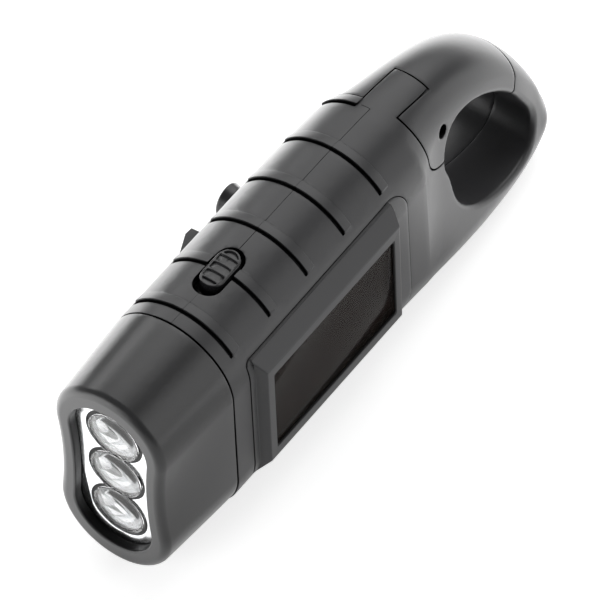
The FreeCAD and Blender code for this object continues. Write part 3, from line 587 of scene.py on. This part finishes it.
@dataclass
class LampHead:
    """Bright plate with cut bowls, near-black seats, clear lenses and the lamps' inner cups; the seats'
    ring round each lens is partly a real carrier and partly painted shade for the gap there.
    """

    pitch: float = 12.0 * MM
    plate_front: float = 2.3 * MM
    plate_thickness: float = 1.2 * MM
    plate_radius: float = 10.9 * MM
    plate_centre: float = 11.8 * MM
    opening: float = 6.95 * MM
    seat_drop: float = 0.55 * MM
    seat_thickness: float = 0.5 * MM
    bowl_mouth: float = 6.0 * MM
    bowl_throat: float = 2.75 * MM
    bowl_depth: float = 6.4 * MM
    bowl_sides: int = 14
    bowl_rings: int = 6
    bowl_wall: float = 0.35 * MM
    lens_radius: float = 6.15 * MM
    lens_rise: float = 0.45 * MM
    lens_thickness: float = 0.7 * MM
    lens_step: float = 0.12 * MM
    lens_rim: float = 0.45 * MM
    groove_width: float = 0.12 * MM
    groove_depth: float = 0.22 * MM
    dome: tuple[tuple[float, float], ...] = ((1.0, 0.12), (1.2, 0.08), (1.4, 0.05))
    cup_back: float = 5.0 * MM
    cup_radii: tuple[float, float] = (0.55 * MM, 1.05 * MM)
    cup_depth: float = 1.0 * MM
    cup_wall: float = 0.12 * MM
    cup_hollow: float = 0.5 * MM
    post_inset: float = 0.2 * MM
    post_length: float = 3.0 * MM
    tool_depth: float = 12 * MM
    round_sides: int = 72
    turn: tuple[float, float, float] = (0, math.pi / 2, 0)

    def __post_init__(self) -> None:
        """Work out where the lamps stand in the frame."""
        low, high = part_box("lens_strip")
        self.middle = (low + high) / 2
        self.front = CAD_BOX[0][0] + self.plate_front

    def heights(self) -> list[float]:
        """Heights of the three lamps, from the top."""
        return [self.middle.z + step * self.pitch for step in (1, 0, -1)]

    def drill(self, plate: Piece, radius: float) -> None:
        """Cut a round hole through a plate at each lamp.

        Args:
            plate: The plate.
            radius: The holes' radius.
        """
        for z in self.heights():
            bpy.ops.object.select_all(action="DESELECT")
            bpy.ops.mesh.primitive_cylinder_add(vertices=self.round_sides, radius=radius,
                                                depth=self.tool_depth, rotation=self.turn,
                                                location=(self.front, self.middle.y, z))
            tool = bpy.context.active_object
            Bench.modify(plate, "BOOLEAN", operation="DIFFERENCE", object=tool, solver="EXACT")
            bpy.data.objects.remove(tool)

    def long_plate(self, start: float, thickness: float, radius: float) -> Piece:
        """Make a plate with round ends, standing on edge across the head.

        Args:
            start: Where its front is, along X.
            thickness: Its thickness.
            radius: Radius of its ends.

        Returns:
            The plate.
        """
        bpy.ops.object.select_all(action="DESELECT")
        bpy.ops.mesh.primitive_circle_add(vertices=96, radius=radius, fill_type="NGON", rotation=self.turn)
        plate = bpy.context.active_object
        Bench.fix(plate)
        bpy.ops.object.mode_set(mode="EDIT")
        for side in (1, -1):
            Bench.pick_points(plate, lambda co, side=side: co.z * side > 0.01 * MM)
            bpy.ops.transform.translate(value=(0, 0, side * self.plate_centre))
        bpy.ops.mesh.select_all(action="SELECT")
        bpy.ops.mesh.extrude_region_move(TRANSFORM_OT_translate={"value": (thickness, 0, 0)})
        bpy.ops.mesh.select_all(action="SELECT")
        bpy.ops.mesh.normals_make_consistent(inside=False)
        bpy.ops.object.mode_set(mode="OBJECT")
        plate.location = (start, self.middle.y, self.middle.z)
        Bench.fix(plate)
        return plate

    def plate(self) -> Piece:
        """Make the bright plate with its three round openings."""
        plate = self.long_plate(self.front, self.plate_thickness, self.plate_radius)
        self.drill(plate, self.opening)
        Bench.soften(plate, 0.1 * MM, 50.0)
        return plate

    def seat(self) -> Piece:
        """Make the carrier that shows as a ring around each lens: a real part, near-black so that it paints
        the shade of the gap there.
        """
        start = self.front + self.seat_drop
        seat = self.long_plate(start, self.seat_thickness, self.opening + 0.3 * MM)
        self.drill(seat, self.lens_radius - self.lens_rim)
        return seat

    def bowl(self, z: float) -> Piece:
        """Make one faceted bowl behind a seat.

        Args:
            z: Height of its centre.

        Returns:
            The bowl.
        """
        start = self.front + self.seat_drop + self.seat_thickness
        centre = Vector((start, self.middle.y, z))
        bpy.ops.object.select_all(action="DESELECT")
        bpy.ops.mesh.primitive_circle_add(vertices=self.bowl_sides, radius=self.bowl_mouth,
                                          rotation=self.turn, location=centre)
        bowl = bpy.context.active_object
        Bench.fix(bowl)
        half_step = math.pi / self.bowl_sides
        step = self.bowl_depth / self.bowl_rings
        radius = self.bowl_mouth
        bpy.ops.object.mode_set(mode="EDIT")
        bpy.ops.mesh.select_all(action="SELECT")
        for ring in range(1, self.bowl_rings + 1):
            share = ring / self.bowl_rings
            wanted = self.bowl_throat + (self.bowl_mouth - self.bowl_throat) * math.sqrt(1 - share ** 1.6)
            ratio = wanted / radius
            bpy.ops.mesh.extrude_region_move(TRANSFORM_OT_translate={"value": (step, 0, 0)})
            bpy.ops.transform.resize(value=(1, ratio, ratio), center_override=centre)
            bpy.ops.transform.rotate(value=half_step, orient_axis="X", center_override=centre)
            radius = wanted
        bpy.ops.mesh.select_all(action="SELECT")
        bpy.ops.mesh.quads_convert_to_tris(quad_method="FIXED")
        bpy.ops.mesh.normals_make_consistent(inside=True)
        bpy.ops.object.mode_set(mode="OBJECT")
        Bench.modify(bowl, "SOLIDIFY", thickness=self.bowl_wall, offset=-1.0)
        return bowl

    def lens(self, z: float, rank: int) -> Piece:
        """Make one clear lens: a rim, a fine groove and a low dome.

        Args:
            z: Height of its centre.
            rank: Its place from the top, which sets how far it stands forward.

        Returns:
            The lens.
        """
        front = self.front - self.lens_rise + rank * self.lens_step
        middle = (front + self.lens_thickness / 2, self.middle.y, z)
        bpy.ops.object.select_all(action="DESELECT")
        bpy.ops.mesh.primitive_cylinder_add(vertices=self.round_sides, radius=self.lens_radius,
                                            depth=self.lens_thickness, rotation=self.turn, location=middle)
        lens = bpy.context.active_object
        Bench.fix(lens)
        bpy.ops.object.mode_set(mode="EDIT")
        Bench.pick(lens, lambda centre, normal: normal.x < -0.9)
        bpy.ops.mesh.inset(thickness=self.lens_rim)
        bpy.ops.mesh.inset(thickness=self.groove_width)
        bpy.ops.transform.translate(value=(self.groove_depth, 0, 0))
        for width, rise in self.dome:
            bpy.ops.mesh.inset(thickness=width * MM)
            bpy.ops.transform.translate(value=(-rise * MM, 0, 0))
        bpy.ops.object.mode_set(mode="OBJECT")
        Bench.soften(lens, 0.06 * MM, 50.0)
        return lens

    def cup(self, z: float) -> Piece:
        """Make the small bright cup and post inside a lamp's resin.

        Args:
            z: Height of its centre.

        Returns:
            The cup.
        """
        start = self.front + self.cup_back
        back, mouth = self.cup_radii
        bpy.ops.object.select_all(action="DESELECT")
        bpy.ops.mesh.primitive_cone_add(vertices=24, radius1=back, radius2=mouth, depth=self.cup_depth,
                                        end_fill_type="NGON", rotation=(0, -math.pi / 2, 0),
                                        location=(start, self.middle.y, z))
        cup = bpy.context.active_object
        Bench.fix(cup)
        bpy.ops.object.mode_set(mode="EDIT")
        Bench.pick(cup, lambda centre, normal: normal.x < -0.9)
        bpy.ops.mesh.inset(thickness=self.cup_wall)
        bpy.ops.mesh.extrude_region_move(TRANSFORM_OT_translate={"value": (self.cup_hollow, 0, 0)})
        bpy.ops.transform.resize(value=(1, 0.5, 0.5))
        Bench.pick(cup, lambda centre, normal: normal.x > 0.9 and centre.x > start + 0.4 * MM)
        bpy.ops.mesh.inset(thickness=self.post_inset)
        bpy.ops.mesh.extrude_region_move(TRANSFORM_OT_translate={"value": (self.post_length, 0, 0)})
        bpy.ops.object.mode_set(mode="OBJECT")
        return cup

    def build(self, palette: "Palette") -> None:
        """Make the reflector, its carrier, whose near-black ring paints the shade round each lens, the
        lenses and the cups.

        Args:
            palette: The finishes.
        """
        parts = [self.plate()] + [self.bowl(z) for z in self.heights()]
        reflector = Bench.join(parts, "lamp_reflector")
        Bench.finish(reflector, palette.mirror, "torch", Slot.MIRROR, ["reflector"])
        seat = self.seat()
        seat.name = "lens_carrier"
        # The carrier's near-black colour is painted shade for the gap round each lens.
        Bench.finish(seat, palette.gasket, "torch", Slot.HEAD, [])
        for rank, z in enumerate(self.heights()):
            lens = self.lens(z, rank)
            lens.name = f"lamp_lens_{rank + 1}"
            Bench.finish(lens, palette.clear, "torch", Slot.LENS, ["lens_strip"])
            cup = self.cup(z)
            cup.name = f"lamp_cup_{rank + 1}"
            Bench.finish(cup, palette.mirror, "torch", Slot.MIRROR, [])


@dataclass
class SolarWindow:
    """Thin brown pane over the cell, in a deep black gasket."""

    sheet: float = 0.2 * MM
    lip: float = 0.12 * MM
    below_face: float = 0.12 * MM
    corner: float = 0.9 * MM

    def build(self, palette: "Palette") -> None:
        """Make the pane and the gasket where the window's solid is.

        Args:
            palette: The finishes.
        """
        low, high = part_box("solar_window")
        cell_low, cell_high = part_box("solar_cell")
        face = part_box("solar_bezel")[0].y + self.below_face
        pane = self.block("solar_pane", low, Vector((high.x, low.y + self.sheet, high.z)))
        Bench.soften(pane, 0.04 * MM)
        Bench.finish(pane, palette.pane, "torch", Slot.WINDOW, ["solar_window"])
        well = self.block("cell_gasket", Vector((low.x, low.y + self.sheet, low.z)), high)
        self.hollow(well, cell_low, cell_high)
        Bench.finish(well, palette.gasket, "torch", Slot.WINDOW, ["solar_window"])
        rim = self.block("window_gasket", Vector((cell_low.x, face, cell_low.z)),
                         Vector((cell_high.x, low.y, cell_high.z)))
        self.hollow(rim, cell_low, cell_high)
        Bench.finish(rim, palette.gasket, "torch", Slot.WINDOW, [])

    def hollow(self, block: Piece, low: Vector, high: Vector) -> None:
        """Cut the window's opening, with round corners, through a block.

        Args:
            block: The block.
            low: The cell's lowest corner.
            high: The cell's highest corner.
        """
        tool = self.block("hole", low + Vector((self.lip, -3 * MM, self.lip)),
                          high + Vector((-self.lip, MM, -self.lip)))
        bpy.ops.object.mode_set(mode="EDIT")
        bpy.ops.mesh.select_mode(type="EDGE")
        bpy.ops.mesh.select_all(action="DESELECT")
        mesh = bmesh.from_edit_mesh(tool.data)
        for edge in mesh.edges:
            if abs(edge.verts[0].co.y - edge.verts[1].co.y) > MM:
                edge.select_set(True)
        bmesh.update_edit_mesh(tool.data)
        bpy.ops.mesh.bevel(offset=self.corner, segments=5)
        bpy.ops.object.mode_set(mode="OBJECT")
        Bench.modify(block, "BOOLEAN", operation="DIFFERENCE", object=tool, solver="EXACT")
        bpy.data.objects.remove(tool)
        Bench.smooth(block)

    @staticmethod
    def block(name: str, low: Vector, high: Vector) -> Piece:
        """Add a block between two corners, as the start of a piece.

        Args:
            name: Its name.
            low: Its lowest corner.
            high: Its highest corner.

        Returns:
            The block.
        """
        bpy.ops.object.select_all(action="DESELECT")
        bpy.ops.mesh.primitive_cube_add(size=1.0, location=(low + high) / 2, scale=high - low)
        block = bpy.context.active_object
        block.name = name
        Bench.fix(block)
        return block


@dataclass(frozen=True)
class Glow:
    """A large soft light in the room, given by where it stands and how wide it is, in degrees."""

    azimuth: float
    height: float
    inner: float
    outer: float
    level: float

    def direction(self) -> Vector:
        """Return the direction to its middle."""
        turn, rise = math.radians(self.azimuth), math.radians(self.height)
        return Vector((math.cos(turn) * math.cos(rise), math.sin(turn) * math.cos(rise), math.sin(rise)))


GLOWS = [
    Glow(45, -12, 6, 20, 3.0),
    Glow(15, 46, 12, 36, 2.2),
    Glow(-66, 24, 8, 32, 1.4),
    Glow(150, 8, 8, 26, 3.6),
]


@dataclass(frozen=True)
class PaintedFloorStep:
    """A soft step of painted light on the floor, seen only in reflections, along X or Y."""

    axis: str
    start: float
    end: float
    level: float


# Painted light on the floor in reflections: dimmest towards -Y, where it stands in for the flashlight's
# shadow, and brighter towards +Y and +X, where it stands in for lit floor.
FLOOR_PAINTED_LIGHT = [
    PaintedFloorStep("Y", -0.035, 0.01, 1.0),
    PaintedFloorStep("Y", 0.01, 0.07, 1.3),
    PaintedFloorStep("X", 0.025, 0.05, 1.1),
]


SOFT_BOXES = [
    ("back_box", (0.5, 1.3, 0.9), (1.0, 0.6), 5.0),
    ("right_box", (1.5, -1.0, 0.3), (0.5, 0.5), 2.0),
    ("front_box", (-1.4, 0.1, 0.6), (0.8, 0.8), 3.0),
]


@dataclass
class Studio:
    """Floor, soft boxes and camera."""

    eye: Vector = field(default_factory=lambda: Vector((-0.89593, -0.69007, 1.41810)))
    right: Vector = field(default_factory=lambda: Vector((0.5827, -0.8122, -0.0281)))
    up: Vector = field(default_factory=lambda: Vector((0.6489, 0.4442, 0.6178)))
    lens: float = 536.9
    room_light: float = 0.12
    floor_glow: float = 0.7
    floor_size: float = 8.0
    floor_gap: float = 0.2 * MM
    floor_color: Color = (0.85, 0.85, 0.85)
    # Brightness of the floor in reflections where the painted shadow is deepest.
    shadowed_floor_glow: float = 0.3

    def camera(self) -> None:
        """Put the camera where the photograph was taken from."""
        data = bpy.data.cameras.new("camera")
        data.lens = self.lens
        data.sensor_width = 36.0
        data.clip_start = 0.1
        data.clip_end = 50.0
        camera = bpy.data.objects.new("camera", data)
        right = self.right.normalized()
        back = right.cross(self.up).normalized()
        turn = Matrix((right, back.cross(right), back)).transposed().to_4x4()
        camera.matrix_world = Matrix.Translation(self.eye) @ turn
        bpy.context.scene.collection.objects.link(camera)
        bpy.context.scene.camera = camera

    def soft_box(self, name: str, spot: Sequence[float], size: tuple[float, float], power: float) -> None:
        """Add a soft box that looks at the flashlight.

        Args:
            name: The lamp's name.
            spot: Where it hangs, in metres.
            size: Its width and height, in metres.
            power: Its power in watts.
        """
        data = bpy.data.lights.new(name, "AREA")
        data.shape = "RECTANGLE"
        data.size, data.size_y = size
        data.energy = power
        lamp = bpy.data.objects.new(name, data)
        lamp.location = spot
        lamp.rotation_euler = (-Vector(spot)).to_track_quat("-Z", "Y").to_euler()
        bpy.context.scene.collection.objects.link(lamp)

    @staticmethod
    def seen(tree: Tree, kinds: Sequence[str]) -> Socket:
        """Return 1 for rays of the given kinds and 0 for all others.

        Args:
            tree: The node tree.
            kinds: Names of Light Path outputs.

        Returns:
            The value's socket.
        """
        path = tree.nodes.new("ShaderNodeLightPath")
        value = path.outputs[kinds[0]]
        for kind in kinds[1:]:
            larger = tree.nodes.new("ShaderNodeMath")
            larger.operation = "MAXIMUM"
            tree.links.new(value, larger.inputs[0])
            tree.links.new(path.outputs[kind], larger.inputs[1])
            value = larger.outputs["Value"]
        return value

    @staticmethod
    def add(tree: Tree, first: Socket, second: Socket) -> Socket:
        """Add two values and return the sum's socket."""
        node = tree.nodes.new("ShaderNodeMath")
        tree.links.new(first, node.inputs[0])
        tree.links.new(second, node.inputs[1])
        return node.outputs["Value"]

    def room(self) -> None:
        """A studio room: dim, with large soft glows around it, and white for the camera."""
        world = bpy.data.worlds.new("room")
        world.use_nodes = True
        bpy.context.scene.world = world
        tree = world.node_tree
        way = tree.nodes.new("ShaderNodeTexCoord").outputs["Generated"]
        total = tree.nodes.new("ShaderNodeValue").outputs["Value"]
        total.default_value = self.room_light
        for glow in GLOWS:
            facing = tree.nodes.new("ShaderNodeVectorMath")
            facing.operation = "DOT_PRODUCT"
            facing.inputs[1].default_value = glow.direction()
            tree.links.new(way, facing.inputs[0])
            falloff = tree.nodes.new("ShaderNodeMapRange")
            falloff.interpolation_type = "SMOOTHSTEP"
            falloff.inputs["From Min"].default_value = math.cos(math.radians(glow.outer))
            falloff.inputs["From Max"].default_value = math.cos(math.radians(glow.inner))
            falloff.inputs["To Max"].default_value = glow.level
            tree.links.new(facing.outputs["Value"], falloff.inputs["Value"])
            total = self.add(tree, total, falloff.outputs["Result"])
        level = tree.nodes.new("ShaderNodeMapRange")
        level.inputs["To Max"].default_value = 1.0
        tree.links.new(total, level.inputs["To Min"])
        tree.links.new(self.seen(tree, ["Is Camera Ray", "Is Transmission Ray"]), level.inputs["Value"])
        tree.links.new(level.outputs["Result"], tree.nodes["Background"].inputs["Strength"])
        tree.nodes["Background"].inputs["Color"].default_value = (1, 1, 1, 1)

    def floor(self) -> None:
        """A wide pale floor under the flashlight, with soft steps of painted light and painted shadow in
        reflections.
        """
        low = CAD_BOX[0][2]
        bpy.ops.object.select_all(action="DESELECT")
        bpy.ops.mesh.primitive_plane_add(size=self.floor_size, location=(0, 0, low - self.floor_gap))
        floor = bpy.context.active_object
        floor.name = "floor"
        material = bpy.data.materials.new("pale_floor")
        material.use_nodes = True
        tree = material.node_tree
        shader = tree.nodes["Principled BSDF"]
        shader.inputs["Base Color"].default_value = (*self.floor_color, 1)
        shader.inputs["Roughness"].default_value = 0.9
        shader.inputs["Specular IOR Level"].default_value = 0.0
        shader.inputs["Emission Color"].default_value = (1, 1, 1, 1)
        where = tree.nodes.new("ShaderNodeTexCoord").outputs["Object"]
        split = tree.nodes.new("ShaderNodeSeparateXYZ")
        tree.links.new(where, split.inputs["Vector"])
        # Painted light and painted shadow, seen only in reflections: the floor glows by place, dim on the
        # -Y side in place of the flashlight's shadow.
        sheet = tree.nodes.new("ShaderNodeValue").outputs["Value"]
        sheet.default_value = self.shadowed_floor_glow
        for slope in FLOOR_PAINTED_LIGHT:
            step = tree.nodes.new("ShaderNodeMapRange")
            step.interpolation_type = "SMOOTHSTEP"
            step.inputs["From Min"].default_value = slope.start
            step.inputs["From Max"].default_value = slope.end
            step.inputs["To Max"].default_value = slope.level
            tree.links.new(split.outputs[slope.axis], step.inputs["Value"])
            sheet = self.add(tree, sheet, step.outputs["Result"])
        painted_reflected_light = tree.nodes.new("ShaderNodeMath")
        painted_reflected_light.operation = "MULTIPLY"
        tree.links.new(sheet, painted_reflected_light.inputs[0])
        tree.links.new(self.seen(tree, ["Is Glossy Ray"]), painted_reflected_light.inputs[1])
        plain = tree.nodes.new("ShaderNodeMapRange")
        plain.inputs["To Max"].default_value = self.floor_glow
        tree.links.new(self.seen(tree, ["Is Camera Ray", "Is Transmission Ray"]), plain.inputs["Value"])
        glow = self.add(tree, painted_reflected_light.outputs["Value"], plain.outputs["Result"])
        tree.links.new(glow, shader.inputs["Emission Strength"])
        floor.data.materials.append(material)

    def build(self) -> None:
        """Make the whole studio."""
        bpy.context.scene.view_settings.view_transform = "Standard"
        self.camera()
        self.room()
        self.floor()
        for name, spot, size, power in SOFT_BOXES:
            self.soft_box(name, spot, size, power)


class Palette:
    """The finishes, each made once."""

    def __init__(self) -> None:
        """Make every material."""
        # Depth of the painted shade in the crevices and hollows of the body and the head.
        shade_depth = 0.92
        self.body = MouldedPlastic("charcoal_moulding", (0.034, 0.034, 0.036), 0.37, painted_shade_depth=shade_depth).build()
        satin = 0.000005
        self.head = MouldedPlastic("head_moulding", (0.032, 0.032, 0.033), 0.3, satin, painted_shade_depth=shade_depth).build()
        self.crank = MouldedPlastic("crank_moulding", (0.028, 0.028, 0.029), 0.3).build()
        self.switch = MouldedPlastic("switch_moulding", (0.014, 0.014, 0.015), 0.22).build()
        self.inner = MouldedPlastic("inner_moulding", (0.1, 0.1, 0.11), 0.5).build()
        self.acetal = MouldedPlastic("gear_acetal", (0.8, 0.8, 0.74), 0.35).build()
        self.sleeve = MouldedPlastic("battery_sleeve", (0.06, 0.22, 0.09), 0.25).build()
        self.gasket = MouldedPlastic("black_carrier", (0.004, 0.004, 0.004), 0.6).build()
        self.mirror = Metal("reflector_plating", (0.95, 0.96, 0.97), 0.22, 0.0).build()
        self.steel = Metal("plated_steel", (0.58, 0.58, 0.6), 0.3).build()
        self.dark_steel = Metal("dark_steel", (0.16, 0.16, 0.17), 0.35).build()
        self.brass = Metal("turned_brass", (0.72, 0.53, 0.24), 0.25).build()
        self.magnet = Metal("sintered_magnet", (0.14, 0.14, 0.15), 0.5).build()
        self.clear = ClearPlastic("clear_lens_plastic").build()
        self.resin = ClearPlastic("lamp_resin", (0.96, 0.97, 0.94), 0.05).build()
        self.pane = TintedPane("window_plastic").build()
        self.cell = CellFilm("solar_film").build()
        self.board = CircuitBoard("circuit_board").build()
        self.wire = WoundWire("copper_winding").build()


CARRIED = {
    "led_1": "resin", "led_2": "resin", "led_3": "resin",
    "solar_cell": "cell", "led_board": "board", "main_board": "board",
    "battery_pack": "sleeve", "battery_clip": "inner", "gearbox_plate": "inner", "switch_lever": "inner",
    "crank_gear": "acetal", "first_gear": "acetal", "second_gear": "acetal",
    "gate_pin": "dark_steel", "gate_spring": "steel", "first_shaft": "steel", "second_shaft": "steel",
    "plate_screws": "steel", "shell_screws": "steel", "rotor_shaft": "steel", "crank_shaft": "steel",
    "crank_screw": "steel", "knob_pin": "steel", "generator_can": "steel", "switch_housing": "steel",
    "shaft_bush": "brass", "rotor_pinion": "brass", "generator_coil": "wire", "rotor_magnet": "magnet",
}

DRESSED = [
    (Dressed("panel_shell", "solar_side_shell", "torch", Slot.BODY), "body"),
    (Dressed("crank_shell", "crank_side_shell", "torch", Slot.BODY), "body"),
    (Dressed("gate", "snap_gate", "gate", Slot.BODY), "body"),
    (Dressed("solar_bezel", "panel_frame", "torch", Slot.BODY, 0.25 * MM), "body"),
    (Dressed("head_cap", "lamp_housing", "torch", Slot.HEAD, 0.2 * MM), "head"),
    (Dressed("switch_button", "slide_button", "switch", Slot.SWITCH, 0.15 * MM), "switch"),
    (Dressed("crank_arm", "crank_lever", "crank", Slot.CRANK, 0.2 * MM), "crank"),
    (Dressed("crank_knob", "turning_knob", "knob", Slot.CRANK, 0.2 * MM), "crank"),
]


def main() -> None:
    """Dress the flashlight and set the scene."""
    palette = Palette()
    Studio().build()
    for name, finish in CARRIED.items():
        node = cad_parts[name]
        node.data.materials.clear()
        node.data.materials.append(getattr(palette, finish))
        LOG.info("%s carried over in %s", name, finish)
    for piece, finish in DRESSED:
        piece.build(getattr(palette, finish))
    LampHead().build(palette)
    SolarWindow().build(palette)


if __name__ == "__main__":
    logging.basicConfig(level=logging.INFO)
    main()
